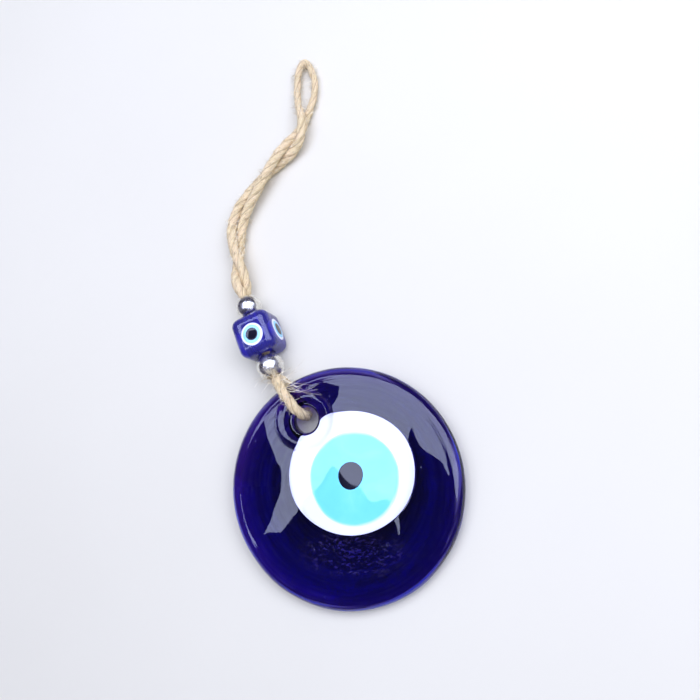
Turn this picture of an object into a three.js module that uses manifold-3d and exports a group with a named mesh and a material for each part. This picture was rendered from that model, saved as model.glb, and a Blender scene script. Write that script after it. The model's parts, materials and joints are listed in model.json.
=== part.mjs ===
// Evil eye ornament: a round glass amulet on a doubled jute twine, with a glass cube bead between two
// silver beads and a loop to hang it by. It lies on a table: Z = 0 is the table, +Z points up out of
// it, +Y points from the amulet towards the hanging loop. Millimetres.
import * as THREE from "three";
import { RoundedBoxGeometry } from "three/addons/geometries/RoundedBoxGeometry.js";
import { mergeVertices } from "three/addons/utils/BufferGeometryUtils.js";
import Module from "manifold-3d";

// ---------------------------------------------------------------- driving dimensions

const CLEARANCE = 0.3; // between neighbouring pieces
const TWINE_DIAMETER = 3.6;

// The amulet's glass disc. Heights are measured from its flat back.
const DISC_CENTRE = new THREE.Vector2(0, -13.7); // puts the origin under the middle of the disc and beads
const DISC_DIAMETER = 80;
const DISC_THICKNESS = 10;
const SHOULDER_HEIGHT = 7.2; // of the front, where the domed face turns into the edge
const SHOULDER_WIDTH = 4; // of the rounded edge
const EDGE_HEIGHT = 4; // of the widest part of the edge
const FLAT_DIAMETER = 50; // of the flat middle of the back
const BACK_ROLL = 2.2; // how far the back's margin rises towards the edge

// The hole for the twine, with a dimple in front and a countersink behind.
const HOLE_DIAMETER = 9;
const HOLE_OFFSET = 26; // from the disc's centre
const HOLE_TURN = THREE.MathUtils.degToRad(29.8); // left of +Y
const DIMPLE_DIAMETER = 17.6;
const DIMPLE_DEPTH = 2.6;
const SINK_DIAMETER = 15;
const SINK_DEPTH = 2.4;
const HOLE_WALL = 1.2; // blue glass left between the hole and the white layer

// The eye's layers in the disc: place from the disc's centre, width, and thickness of glass.
const WHITE_LAYER = { x: 3.5, y: 4.8, diameter: 41.4, depth: 3.8 };
const IRIS_LAYER = { x: 5, y: 3.1, diameter: 30, depth: 2.4 };
const PUPIL_LAYER = { x: 3.3, y: 3.9, diameter: 8.7, depth: 1.2 };

// The bead string, which lies on one face of its cube.
const STRING_TURN = THREE.MathUtils.degToRad(22); // left of +Y
const LOOP_TURN = THREE.MathUtils.degToRad(36.2); // of the line from the hole to the lower bead
const RIM_TO_BEAD = 4.5;
const LOWER_BEAD_DIAMETER = 9.6;
const UPPER_BEAD_DIAMETER = 9;
const BEAD_BORE = 5.2;
const CUBE_WIDTH = 14.5;
const CUBE_LENGTH = 15;
const CUBE_ROUNDING = 3;
const BEAD_NEST = 0.4; // how far each silver bead sits in the mouth of the cube's bore
const CUBE_EYE = [
  { name: "white", diameter: 7.4, depth: 2.4, colour: 0xf4f4f6 },
  { name: "iris", diameter: 5.7, depth: 1.6, colour: 0x7fd3ee },
  { name: "pupil", diameter: 3.9, depth: 0.8, colour: 0x0a0a10 },
];

// The two legs of the twine where they are twisted together, by the line midway between them:
// x and y from the upper bead's centre, lift from the table (0) to the bore (1), and the turn of
// the legs round each other, in degrees from lying side by side.
const TWISTED_ROUTE = [
  { x: -1.95, y: 4.85, lift: 1, turn: 95 },
  { x: -3.3, y: 8.9, lift: 0.9, turn: 135 },
  { x: -5.2, y: 15.6, lift: 0.5, turn: 225 },
  { x: -6.4, y: 21.6, lift: 0.2, turn: 275 },
  { x: -7.1, y: 27.4, lift: 0.05, turn: 310 },
  { x: -6.6, y: 33.2, lift: 0, turn: 335 },
  { x: -4.6, y: 38.4, lift: 0, turn: 358 },
  { x: -1.6, y: 43, lift: 0, turn: 382 },
  { x: 1.9, y: 47.7, lift: 0, turn: 408 },
  { x: 5.6, y: 52.2, lift: 0, turn: 436 },
  { x: 9.6, y: 56, lift: 0, turn: 470 },
  { x: 13.3, y: 59.8, lift: 0, turn: 515 },
  { x: 16.4, y: 63.4, lift: 0, turn: 565 },
  { x: 18.2, y: 67.4, lift: 0, turn: 610 },
  { x: 18.8, y: 71.2, lift: 0, turn: 640 },
];
// The single twine round the hanging loop, from one leg's end to the other's.
const LOOP_ROUTE = [
  { x: 20.8, y: 75.6, lift: 0 },
  { x: 22.3, y: 80.4, lift: 0 },
  { x: 22.3, y: 85.8, lift: 0 },
  { x: 20.7, y: 91.2, lift: 0 },
  { x: 18.3, y: 94.6, lift: 0 },
  { x: 16.3, y: 91.4, lift: 0.05 },
  { x: 15.7, y: 86.2, lift: 0.1 },
  { x: 16, y: 80.8, lift: 0.2 },
  { x: 16.9, y: 76.2, lift: 0.45 },
];

const DISC_SEGMENTS = 64;
const BEAD_SEGMENTS = 28;
const CUBE_EYE_SEGMENTS = 20;
const TWINE_SIDES = 8;

// ---------------------------------------------------------------- sizes worked out from them

const discRadius = DISC_DIAMETER / 2;
const holeRadius = HOLE_DIAMETER / 2;
const twineRadius = TWINE_DIAMETER / 2;
const flatRadius = FLAT_DIAMETER / 2;
const shoulderRadius = discRadius - SHOULDER_WIDTH;
const crownRise = DISC_THICKNESS - SHOULDER_HEIGHT;
const crownRadius = (shoulderRadius ** 2 + crownRise ** 2) / (2 * crownRise);

// Heights of the disc's front and back at a distance from its axis.
const frontHeight = (r) => DISC_THICKNESS - crownRadius + Math.sqrt(crownRadius ** 2 - r ** 2);
const backHeight = (r) => BACK_ROLL * Math.max(0, (r - flatRadius) / (discRadius - flatRadius)) ** 2;

// The disc leans on the twine that passes under it, which lies on the table just past the countersink.
const twineTop = TWINE_DIAMETER + 2 * CLEARANCE;
const sinkEdge = HOLE_OFFSET + SINK_DIAMETER / 2;
const discTilt = Math.asin((twineTop - backHeight(sinkEdge)) / (flatRadius + sinkEdge));
// Opposite the hole it stands on the ring where the back's margin is level with the table.
const standRadius =
  flatRadius + (Math.tan(discTilt) * (discRadius - flatRadius) ** 2) / (2 * BACK_ROLL);
const discLift = standRadius * Math.sin(discTilt) - backHeight(standRadius) * Math.cos(discTilt);
const overTable = (r, height) => discLift + r * Math.sin(discTilt) + height * Math.cos(discTilt);

const turned = (angle, length = 1) =>
  new THREE.Vector2(-Math.sin(angle), Math.cos(angle)).multiplyScalar(length);
const holeCentre = turned(HOLE_TURN, HOLE_OFFSET).add(DISC_CENTRE);

// From the hole's centre to the disc's edge, along the line to the lower bead.
const skew = LOOP_TURN - HOLE_TURN;
const holeToEdge =
  Math.sqrt(discRadius ** 2 - (HOLE_OFFSET * Math.sin(skew)) ** 2) - HOLE_OFFSET * Math.cos(skew);
const holeToBead = holeToEdge + RIM_TO_BEAD + LOWER_BEAD_DIAMETER / 2;

const boreHeight = CUBE_WIDTH / 2;
const lowerBead = turned(LOOP_TURN, holeToBead).add(holeCentre);
const cubeAt = LOWER_BEAD_DIAMETER / 2 - BEAD_NEST + CUBE_LENGTH / 2;
const upperBeadAt = cubeAt + CUBE_LENGTH / 2 - BEAD_NEST + UPPER_BEAD_DIAMETER / 2;
const upperBead = turned(STRING_TURN, upperBeadAt).add(lowerBead);

// ---------------------------------------------------------------- solids

const wasm = await Module();
wasm.setup();

function solid(geometry) {
  const bare = geometry.clone();
  bare.deleteAttribute("normal");
  bare.deleteAttribute("uv");
  const merged = mergeVertices(bare, 1e-4);
  const mesh = new wasm.Mesh({
    numProp: 3,
    vertProperties: merged.attributes.position.array,
    triVerts: new Uint32Array(merged.index.array),
  });
  return new wasm.Manifold(mesh);
}

function geometryOf(manifold) {
  const mesh = manifold.getMesh();
  const geometry = new THREE.BufferGeometry();
  geometry.setAttribute("position", new THREE.BufferAttribute(mesh.vertProperties, 3));
  geometry.setIndex(new THREE.BufferAttribute(mesh.triVerts, 1));
  const flat = geometry.toNonIndexed();
  flat.computeVertexNormals();
  return flat;
}

// A turned solid about the Z axis; the profile is [radius, height] from bottom to top.
function turnedSolid(profile, segments) {
  const points = profile.map(([r, z]) => new THREE.Vector2(r, z));
  return new THREE.LatheGeometry(points, segments).rotateX(Math.PI / 2);
}

function post(radius, bottom, top, segments) {
  return turnedSolid([[0, bottom], [radius, bottom], [radius, top], [0, top]], segments);
}

function ball(radius, segments) {
  return new THREE.SphereGeometry(radius, segments, segments / 2);
}

// A round tube along a smooth curve through the points.
function tube(points, diameter, steps) {
  const section = new THREE.Shape();
  for (let i = 0; i < TWINE_SIDES; i += 1) {
    const angle = (2 * Math.PI * i) / TWINE_SIDES;
    section[i ? "lineTo" : "moveTo"]((diameter / 2) * Math.cos(angle), (diameter / 2) * Math.sin(angle));
  }
  section.closePath();
  const extrudePath = new THREE.CatmullRomCurve3(points, false, "centripetal");
  return new THREE.ExtrudeGeometry(section, { steps, bevelEnabled: false, extrudePath });
}

const glass = (colour, opacity = 1) =>
  new THREE.MeshStandardMaterial({
    color: colour,
    roughness: 0.05,
    metalness: 0,
    transparent: opacity < 1,
    opacity,
  });
const blueGlass = glass(0x10108a, 0.85);
const silver = new THREE.MeshStandardMaterial({ color: 0xd9d9d6, roughness: 0.08, metalness: 1 });
const jute = new THREE.MeshStandardMaterial({ color: 0xcdb48c, roughness: 0.95, metalness: 0 });

function piece(name, geometry, material) {
  const mesh = new THREE.Mesh(geometry, material);
  mesh.name = name;
  return mesh;
}

// ---------------------------------------------------------------- glass disc and its eye

function discBlank() {
  const profile = [[0, 0], [flatRadius, 0]];
  const backEnd = discRadius - 1.5;
  const backSteps = 5;
  for (let i = 1; i <= backSteps; i += 1) {
    const r = flatRadius + ((backEnd - flatRadius) * i) / backSteps;
    profile.push([r, backHeight(r)]);
  }
  profile.push([discRadius - 0.4, (backHeight(backEnd) + EDGE_HEIGHT) / 2]);
  const edgeSteps = 6;
  for (let i = 0; i <= edgeSteps; i += 1) {
    const a = (i / edgeSteps) * (Math.PI / 2);
    const r = shoulderRadius + SHOULDER_WIDTH * Math.cos(a);
    profile.push([r, EDGE_HEIGHT + (SHOULDER_HEIGHT - EDGE_HEIGHT) * Math.sin(a)]);
  }
  const crownSteps = 8;
  for (let i = 1; i < crownSteps; i += 1) {
    const r = shoulderRadius * (1 - i / crownSteps);
    profile.push([r, frontHeight(r)]);
  }
  profile.push([0, DISC_THICKNESS]);
  return solid(turnedSolid(profile, DISC_SEGMENTS));
}

// What the punch takes out: the hole, the dimple in front and the countersink behind.
function punch() {
  const face = frontHeight(HOLE_OFFSET);
  const wide = DIMPLE_DIAMETER / 2;
  const profile = [
    [0, -SINK_DEPTH],
    [SINK_DIAMETER / 2 + SINK_DEPTH, -SINK_DEPTH],
    [SINK_DIAMETER / 2, 0],
    [holeRadius, SINK_DEPTH],
  ];
  const flareSteps = 6;
  for (let i = 0; i <= flareSteps; i += 1) {
    const a = (i / flareSteps) * (Math.PI / 2);
    const r = wide - (wide - holeRadius) * Math.cos(a);
    profile.push([r, face - DIMPLE_DEPTH + DIMPLE_DEPTH * Math.sin(a)]);
  }
  profile.push([wide + DIMPLE_DEPTH, face + 0.6]);
  profile.push([wide + 3 * DIMPLE_DEPTH, face + DIMPLE_DEPTH + CLEARANCE]);
  profile.push([0, face + DIMPLE_DEPTH + CLEARANCE]);
  return turnedSolid(profile, DISC_SEGMENTS / 2);
}

const atHole = (geometry) => {
  const { x, y } = turned(HOLE_TURN, HOLE_OFFSET);
  return solid(geometry.translate(x, y, 0));
};

// A plug of glass let in from the front, as deep as the layer, or its pocket with the gap round it.
function layerPlug(layer, gap) {
  const face = frontHeight(Math.hypot(layer.x, layer.y));
  const shape = post(
    layer.diameter / 2 + gap,
    face - layer.depth - gap,
    DISC_THICKNESS + CLEARANCE,
    DISC_SEGMENTS,
  );
  return solid(shape.translate(layer.x, layer.y, 0));
}

function eyeDisc() {
  const blank = discBlank().subtract(atHole(punch()));
  const wall = (gap) => atHole(post(holeRadius + HOLE_WALL - gap, -1, DISC_THICKNESS + 1, DISC_SEGMENTS / 2));
  const pocket = layerPlug(WHITE_LAYER, CLEARANCE).subtract(wall(CLEARANCE));
  const white = blank
    .intersect(layerPlug(WHITE_LAYER, 0))
    .subtract(wall(0))
    .subtract(layerPlug(IRIS_LAYER, CLEARANCE));
  const iris = blank.intersect(layerPlug(IRIS_LAYER, 0)).subtract(layerPlug(PUPIL_LAYER, CLEARANCE));
  const pupil = blank.intersect(layerPlug(PUPIL_LAYER, 0));

  const disc = new THREE.Group();
  disc.add(piece("glass_disc", geometryOf(blank.subtract(pocket)), blueGlass));
  disc.add(piece("eye_white", geometryOf(white), glass(0xf6f7fa)));
  disc.add(piece("eye_iris", geometryOf(iris), glass(0x7fe3ea)));
  disc.add(piece("eye_pupil", geometryOf(pupil), glass(0x141418)));
  const away = turned(HOLE_TURN);
  disc.quaternion.setFromAxisAngle(new THREE.Vector3(away.y, -away.x, 0), discTilt);
  disc.position.set(DISC_CENTRE.x, DISC_CENTRE.y, discLift);
  return disc;
}

// ---------------------------------------------------------------- beads

function silverBead(name, diameter) {
  const bore = solid(post(BEAD_BORE / 2, -diameter, diameter, BEAD_SEGMENTS));
  const sphere = solid(ball(diameter / 2, BEAD_SEGMENTS).rotateX(Math.PI / 2));
  return piece(name, geometryOf(sphere.subtract(bore)).rotateX(-Math.PI / 2), silver);
}

// A layer of one of the cube's eyes, let in from the cube's face in front, or its pocket.
function cubeEyePlug(layer, gap, turn) {
  const face = CUBE_WIDTH / 2;
  const plug = post(layer.diameter / 2 + gap, face - layer.depth - gap, face + 1, CUBE_EYE_SEGMENTS);
  return solid(plug.rotateY(turn));
}

function cubeBead() {
  const bore = post(BEAD_BORE / 2, -CUBE_LENGTH, CUBE_LENGTH, BEAD_SEGMENTS).rotateX(Math.PI / 2);
  const seat = (diameter, side) => {
    const reach = CUBE_LENGTH / 2 - BEAD_NEST + diameter / 2;
    return solid(ball(diameter / 2 + CLEARANCE, BEAD_SEGMENTS).translate(0, side * reach, 0));
  };
  const blank = solid(new RoundedBoxGeometry(CUBE_WIDTH, CUBE_LENGTH, CUBE_WIDTH, 3, CUBE_ROUNDING))
    .subtract(solid(bore))
    .subtract(seat(LOWER_BEAD_DIAMETER, -1))
    .subtract(seat(UPPER_BEAD_DIAMETER, 1));

  const bead = new THREE.Group();
  let body = blank;
  ["front", "right", "back", "left"].forEach((side, quarter) => {
    const turn = (quarter * Math.PI) / 2;
    body = body.subtract(cubeEyePlug(CUBE_EYE[0], CLEARANCE, turn));
    CUBE_EYE.forEach((layer, i) => {
      const inner = CUBE_EYE[i + 1];
      let glassLayer = blank.intersect(cubeEyePlug(layer, 0, turn));
      if (inner) glassLayer = glassLayer.subtract(cubeEyePlug(inner, CLEARANCE, turn));
      bead.add(piece(`cube_${layer.name}_${side}`, geometryOf(glassLayer), glass(layer.colour)));
    });
  });
  bead.add(piece("cube_bead", geometryOf(body), blueGlass));
  bead.position.y = cubeAt;
  return bead;
}

// The two legs pressed together in a bore.
function boreTwine(name, from, to) {
  const core = post(BEAD_BORE / 2 - CLEARANCE, 0, to - from, TWINE_SIDES * 2).rotateX(-Math.PI / 2);
  return piece(name, core.translate(0, from, 0), jute);
}

function beadString() {
  const string = new THREE.Group();
  const upper = silverBead("upper_silver_bead", UPPER_BEAD_DIAMETER);
  upper.position.y = upperBeadAt;
  const boreEnd = (diameter) => Math.sqrt((diameter / 2) ** 2 - (BEAD_BORE / 2) ** 2);
  const lowerEnd = boreEnd(LOWER_BEAD_DIAMETER);
  const cubeStart = cubeAt - CUBE_LENGTH / 2 + BEAD_NEST + CLEARANCE;
  string.add(
    silverBead("lower_silver_bead", LOWER_BEAD_DIAMETER),
    cubeBead(),
    upper,
    boreTwine("twine_in_lower_bead", -lowerEnd, lowerEnd),
    boreTwine("twine_in_upper_beads", cubeStart, upperBeadAt + boreEnd(UPPER_BEAD_DIAMETER)),
  );
  string.rotation.z = STRING_TURN;
  string.position.set(lowerBead.x, lowerBead.y, boreHeight);
  return string;
}

// ---------------------------------------------------------------- twine

const legOffset = twineRadius + CLEARANCE / 2;

// The twine down through the hole and back under the disc, as distances from the hole's axis towards
// the lower bead and heights above the table.
function discLoop() {
  const crest = overTable(shoulderRadius, SHOULDER_HEIGHT) + twineRadius + 3 * CLEARANCE;
  const holeEdge = HOLE_OFFSET + holeRadius;
  const brim = overTable(holeEdge, frontHeight(holeEdge)) + twineRadius + 2 * CLEARANCE;
  const dimpleFoot = overTable(HOLE_OFFSET, frontHeight(HOLE_OFFSET) - DIMPLE_DEPTH);
  const inHole = holeRadius - twineRadius - 1.5 * CLEARANCE - DISC_THICKNESS * Math.sin(discTilt);
  const onTable = twineRadius + CLEARANCE / 2;
  const beadEnd = holeToBead - LOWER_BEAD_DIAMETER / 2 - 3 * CLEARANCE;
  const route = [
    [beadEnd, boreHeight + legOffset],
    [holeToEdge + 1.6, crest - 1.6],
    [holeToEdge - 1.6, crest],
    [holeToEdge - 5.5, crest + 0.5],
    [holeRadius + 1.9, brim + 0.1],
    [holeRadius - 0.8, brim - 0.9],
    [inHole + 0.4, dimpleFoot + 1.4],
    [inHole, dimpleFoot - 1.8],
    [inHole + 0.3, onTable + 2.4],
    [inHole + 1.9, onTable + 0.5],
    [holeRadius + 0.8, onTable],
    [holeToEdge - 4, onTable],
    [holeToEdge, onTable + 0.1],
    [holeToEdge + 2.6, onTable + 1.6],
    [beadEnd, boreHeight - legOffset],
  ];
  const points = route.map(([distance, height]) => {
    const { x, y } = turned(LOOP_TURN, distance).add(holeCentre);
    return new THREE.Vector3(x, y, height);
  });
  return piece("twine_through_disc", tube(points, TWINE_DIAMETER, 30), jute);
}

// The doubled twine above the beads: up one leg, round the hanging loop and down the other.
function hangingTwine() {
  const pairHeight = twineRadius + legOffset + CLEARANCE / 2;
  const loopHeight = twineRadius + CLEARANCE / 2;
  const lifted = (point, low) =>
    new THREE.Vector3(upperBead.x + point.x, upperBead.y + point.y, low + (boreHeight - low) * point.lift);
  const middle = TWISTED_ROUTE.map((point) => lifted(point, pairHeight));
  const line = new THREE.CatmullRomCurve3(middle, false, "centripetal");
  const up = new THREE.Vector3(0, 0, 1);
  const leg = (side) =>
    middle.map((centre, i) => {
      const along = line.getTangent(i / (middle.length - 1));
      const across = along.clone().cross(up).normalize();
      const above = across.clone().cross(along);
      const turn = THREE.MathUtils.degToRad(TWISTED_ROUTE[i].turn);
      return centre
        .clone()
        .addScaledVector(across, side * legOffset * Math.cos(turn))
        .addScaledVector(above, side * legOffset * Math.sin(turn));
    });
  const loop = LOOP_ROUTE.map((point) => lifted(point, loopHeight));
  const points = [...leg(1), ...loop, ...leg(-1).reverse()];
  return piece("hanging_twine", tube(points, TWINE_DIAMETER, 78), jute);
}

const ornament = new THREE.Group();
ornament.name = "evil_eye_ornament";
ornament.add(eyeDisc(), discLoop(), beadString(), hangingTwine());

export default ornament;
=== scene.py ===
"""An evil eye ornament: a glass amulet on doubled jute twine, with a cube bead between two silver beads.

Everything is in metres. The amulet lies on a pale table, and the twine runs away from it along +Y.
"""
import json
import math
import random

import bpy
from mathutils import Matrix, Vector, noise


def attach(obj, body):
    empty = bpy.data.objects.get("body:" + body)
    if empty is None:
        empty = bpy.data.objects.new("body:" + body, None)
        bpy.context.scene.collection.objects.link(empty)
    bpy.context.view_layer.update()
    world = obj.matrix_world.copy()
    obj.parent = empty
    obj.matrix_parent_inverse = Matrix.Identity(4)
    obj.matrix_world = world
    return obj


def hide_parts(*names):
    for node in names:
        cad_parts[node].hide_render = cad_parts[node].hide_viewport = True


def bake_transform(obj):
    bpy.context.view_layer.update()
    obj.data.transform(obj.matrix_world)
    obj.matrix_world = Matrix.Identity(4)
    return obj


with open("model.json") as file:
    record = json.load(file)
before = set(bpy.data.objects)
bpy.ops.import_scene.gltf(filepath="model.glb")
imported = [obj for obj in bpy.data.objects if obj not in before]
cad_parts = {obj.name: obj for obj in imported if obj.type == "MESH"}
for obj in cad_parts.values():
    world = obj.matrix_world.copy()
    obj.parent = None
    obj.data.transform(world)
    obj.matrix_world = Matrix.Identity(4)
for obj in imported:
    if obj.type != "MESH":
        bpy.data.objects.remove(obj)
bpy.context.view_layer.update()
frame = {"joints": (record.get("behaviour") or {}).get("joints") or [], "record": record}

MM = 0.001
UP = Vector((0, 0, 1))

# ------------------------ places, from the frame

joint = {j["name"]: j for j in frame["joints"]}
mount = {m["name"]: m for m in frame["record"]["mounts"]}

disc_back = Vector(mount["disc_back"]["pos_m"])
disc_way = -Vector(mount["disc_back"]["axis"]).normalized()
lower_bead_at = Vector(joint["lower_bead_spin"]["pos_m"])
cube_at = Vector(joint["cube_spin"]["pos_m"])
upper_bead_at = Vector(joint["upper_bead_spin"]["pos_m"])
string_way = Vector(joint["cube_spin"]["axis"]).normalized()
string_side = string_way.cross(UP).normalized()

# Local frames: the disc's has its back at Z = 0, a bead's has its bore along Z, the cube's along Y.
disc_place = Matrix.Translation(disc_back) @ UP.rotation_difference(disc_way).to_matrix().to_4x4()


def placed(at, x, y, z):
    """The matrix that takes a piece from the origin to its place, with its axes along x, y and z."""
    return Matrix.Translation(at) @ Matrix((x, y, z)).transposed().to_4x4()


lower_bead_place = placed(lower_bead_at, string_side, -UP, string_way)
upper_bead_place = placed(upper_bead_at, string_side, -UP, string_way)
cube_place = placed(cube_at, string_side, string_way, UP)

# ------------------------ sizes

DISC_RADIUS = 40 * MM
DISC_THICKNESS = 10 * MM
SHOULDER_HEIGHT = 7.2 * MM
SHOULDER_WIDTH = 4 * MM
EDGE_HEIGHT = 4 * MM
FLAT_RADIUS = 25 * MM
BACK_ROLL = 2.2 * MM
BACK_EDGE = 1.5 * MM  # width of the back's rounded edge

HOLE_RADIUS = 4.5 * MM
HOLE_OFFSET = 26 * MM
HOLE_TURN = math.radians(29.8)  # left of +Y
DIMPLE_RADIUS = 10.4 * MM
DIMPLE_DEPTH = 1.5 * MM
DIMPLE_BRINK = 0.1  # share of the dimple's width that its rounded outer edge takes
DIMPLE_STEEPNESS = 5
HOLE_BRINK = 1 * MM  # width of its rounded inner edge
SINK_RADIUS = 7.5 * MM
SINK_DEPTH = 2.4 * MM

LOWER_BEAD_RADIUS = 4.8 * MM
UPPER_BEAD_RADIUS = 4.5 * MM
BEAD_BORE_RADIUS = 2.6 * MM
CUBE_WIDTH = 14.5 * MM
CUBE_LENGTH = 15 * MM
CUBE_ROUNDING = 3.2 * MM
FACE_CROWN = 0.035 * MM  # how fast each face falls away from its middle

TWINE_DIAMETER = 3.6 * MM
SQUEEZED_RADIUS = 1.15 * MM  # of a twine leg where a bore presses it

hole_spot = Vector((-math.sin(HOLE_TURN), math.cos(HOLE_TURN))) * HOLE_OFFSET

# ------------------------ camera

VIEW_FROM = Vector((0.0842, -0.0168, 0.2703))
VIEW_AT = Vector((0.0, 0.0333, 0.0))
LENS = 42.4  # on a 36 mm sensor


def set_camera():
    """A camera above the ornament and to its right, with +Y up in its picture."""
    data = bpy.data.cameras.new("camera")
    data.lens = LENS
    data.sensor_width = 36
    data.clip_start = 0.01
    camera = bpy.data.objects.new("camera", data)
    bpy.context.scene.collection.objects.link(camera)
    forward = (VIEW_AT - VIEW_FROM).normalized()
    right = forward.cross(Vector((0, 1, 0))).normalized()
    camera.matrix_world = placed(VIEW_FROM, right, right.cross(forward), -forward)
    bpy.context.scene.camera = camera


set_camera()
bpy.context.scene.view_settings.view_transform = "Standard"

# ------------------------ materials


def new_material(name):
    """A material with a Principled shader, and its node tree."""
    material = bpy.data.materials.new(name)
    material.use_nodes = True
    return material, material.node_tree


def add(tree, kind, inputs=None, **settings):
    """A node with its settings, and its inputs set to values or linked to other nodes' outputs."""
    made = tree.nodes.new("ShaderNode" + kind)
    for key, value in settings.items():
        setattr(made, key, value)
    for key, value in (inputs or {}).items():
        if isinstance(value, bpy.types.NodeSocket):
            tree.links.new(value, made.inputs[key])
        else:
            made.inputs[key].default_value = value
    return made


def place_of(tree, scale=(1, 1, 1), shift=(0, 0, 0)):
    """Object coordinates, stretched and then shifted."""
    coordinates = add(tree, "TexCoord").outputs["Object"]
    return add(tree, "Mapping", {"Vector": coordinates, "Scale": scale, "Location": shift}).outputs[0]


def noise_of(tree, where, scale, detail=4, distortion=0.0, roughness=0.5):
    """Soft random patches round 0.5, the scale saying how many come to one unit of where."""
    inputs = {
        "Vector": where, "Scale": scale, "Detail": detail, "Distortion": distortion, "Roughness": roughness,
    }
    return add(tree, "TexNoise", inputs).outputs["Fac"]


def ramp(tree, value, *stops):
    """A colour ramp with (position, colour) stops."""
    made = add(tree, "ValToRGB", {"Fac": value})
    elements = made.color_ramp.elements
    while len(elements) < len(stops):
        elements.new(0.5)
    for element, (position, colour) in zip(elements, stops):
        element.position = position
        element.color = (*colour, 1)
    return made.outputs["Color"]


def blend(tree, how_much, a, b):
    """Colour a turning to colour b as how_much goes from 0 to 1."""
    made = add(tree, "Mix", data_type="RGBA", blend_type="MIX")
    for name, value in (("Factor", how_much), ("A", a), ("B", b)):
        colour = name != "Factor"
        socket = [s for s in made.inputs if s.name == name and s.enabled][0]
        if isinstance(value, bpy.types.NodeSocket):
            tree.links.new(value, socket)
        else:
            socket.default_value = (*value, 1) if colour else value
    return [s for s in made.outputs if s.enabled][0]


def between(tree, value, low, high, to_low=0.0, to_high=1.0):
    """Goes smoothly from to_low to to_high as the value goes from low to high."""
    inputs = {"Value": value, "From Min": low, "From Max": high, "To Min": to_low, "To Max": to_high}
    return add(tree, "MapRange", inputs, interpolation_type="SMOOTHSTEP").outputs["Result"]


def product(tree, a, b):
    return add(tree, "Math", {0: a, 1: b}, operation="MULTIPLY").outputs[0]


def raised(tree, base, mask, amount):
    """The base value with the amount added where the mask is 1."""
    return add(tree, "Math", {0: mask, 1: amount, 2: base}, operation="MULTIPLY_ADD").outputs[0]


def flat_length(tree, vector):
    """How long a vector is across X and Y alone."""
    split = add(tree, "SeparateXYZ", {"Vector": vector}).outputs
    flat = add(tree, "CombineXYZ", {"X": split["X"], "Y": split["Y"]}).outputs[0]
    return add(tree, "VectorMath", {0: flat}, operation="LENGTH").outputs["Value"]


def bumped(tree, height, depth, under=None):
    """A normal bent by the height, on top of the normal given as under."""
    inputs = {"Height": height, "Distance": depth, "Strength": 1.0}
    if under is not None:
        inputs["Normal"] = under
    return add(tree, "Bump", inputs).outputs["Normal"]


def surface(tree, **inputs):
    """Sets the Principled shader's inputs, base_color being its Base Color and so on."""
    named = {key.replace("_", " ").title(): value for key, value in inputs.items()}
    if "Ior" in named:
        named["IOR"] = named.pop("Ior")
    shader = tree.nodes["Principled BSDF"]
    for key, value in named.items():
        if isinstance(value, bpy.types.NodeSocket):
            tree.links.new(value, shader.inputs[key])
        else:
            shader.inputs[key].default_value = value


GLASS_IOR = 1.52
STREAK_WIDTH = 1.6 * MM  # how much of the streaks' pattern a radian round the centre takes
GLINT_PATCH_STRETCH = Vector((0.75, 1.9, 1))  # makes the painted glint patch wide and low
# where the painted crinkle highlight is full, and where it has faded out
GLINT_PATCH_CORE = 6 * MM
GLINT_PATCH_REACH = 17 * MM
# where the painted rim highlight starts, and where it is full
GLINT_START = DISC_RADIUS - 3 * MM
GLINT_FULL = DISC_RADIUS - 0.6 * MM


def round_centre(tree, centre):
    """The angle round the centre, the distance from it and the height, for streaks to follow."""
    near = place_of(tree, shift=-centre)
    split = add(tree, "SeparateXYZ", {"Vector": near}).outputs
    angle = add(tree, "Math", {0: split["Y"], 1: split["X"]}, operation="ARCTAN2").outputs[0]
    turned_by = product(tree, angle, STREAK_WIDTH)
    distance = flat_length(tree, near)
    return add(tree, "CombineXYZ", {"X": turned_by, "Y": distance, "Z": split["Z"]}).outputs[0]


def painted_crinkle_glints_of(tree, middle):
    """A mask of painted highlight: short wavy bright ridges, standing in for light bent by folds in the
    glass, that fade out round the middle.
    """
    shift = Vector([-stretch * place for stretch, place in zip(GLINT_PATCH_STRETCH, middle)])
    distance = flat_length(tree, place_of(tree, scale=GLINT_PATCH_STRETCH, shift=shift))
    patch = between(tree, distance, GLINT_PATCH_CORE, GLINT_PATCH_REACH, 1, 0)
    folds = noise_of(tree, place_of(tree, scale=(1, 1.7, 1)), 520, detail=3, distortion=1.8)
    return product(tree, patch, between(tree, folds, 0.55, 0.66))


def painted_glints_of(tree, centre, streaks):
    """A mask of painted highlight: the streaks that lie in the disc's rim, painted bright blue as light
    coming out through its edge.
    """
    distance = flat_length(tree, place_of(tree, shift=-centre))
    rim = between(tree, distance, GLINT_START, GLINT_FULL)
    return product(tree, rim, between(tree, streaks, 0.46, 0.6))


def bubbles_of(tree):
    """A mask of tiny round bubbles, a few together here and there."""
    seeds = add(tree, "TexVoronoi", {"Vector": place_of(tree), "Scale": 240.0})
    dots = between(tree, seeds.outputs["Distance"], 0.035, 0.055, 1, 0)
    rare = between(tree, noise_of(tree, place_of(tree), 80, detail=1), 0.5, 0.56)
    return product(tree, dots, rare)


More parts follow.
